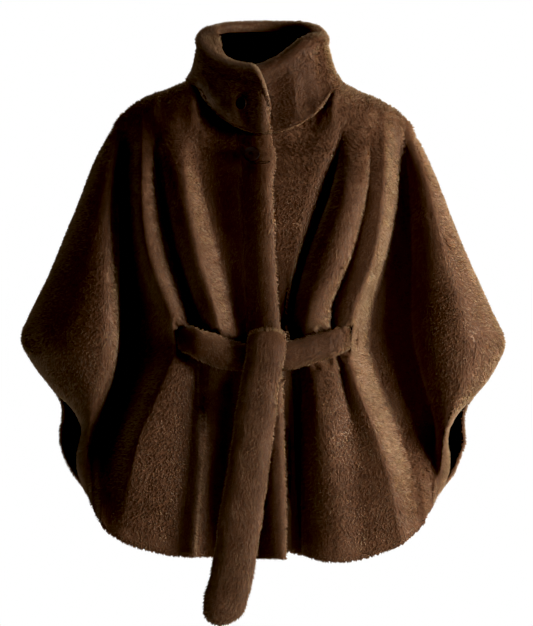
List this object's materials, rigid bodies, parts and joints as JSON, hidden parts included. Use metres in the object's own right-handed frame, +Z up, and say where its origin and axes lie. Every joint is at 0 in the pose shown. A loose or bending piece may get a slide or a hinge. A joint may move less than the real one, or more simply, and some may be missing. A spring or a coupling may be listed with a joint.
{
  "type": "faux fur cape",
  "caption": "Hip-length faux fur cape with a stand collar, arm slits, a buttoned front and a looped fur belt, hollow as worn.",
  "frame": {"origin": "middle of the neck between the shoulders, at the height of the shoulder seams beside the collar, where the wearer's shoulders hold the cape up", "axes": "+Z up, -Y the way the wearer faces, +X to the wearer's left"},
  "size_m": [0.7073, 0.3585, 0.8788],
  "materials": {
    "fur": "short plush faux fur pile, dark brown with paler tips",
    "button": "dark brown, polished"
  },
  "bodies": {
    "root": {"front_band": "fur", "front_right": "fur", "front_left": "fur", "rear_right": "fur", "rear_left": "fur", "collar": "fur", "belt_right": "fur", "belt_left": "fur", "belt_tail": "fur", "belt_under_tail": "fur", "belt_inside": "fur", "button": "button", "collar_button": "button"}
  },
  "joints": []
}
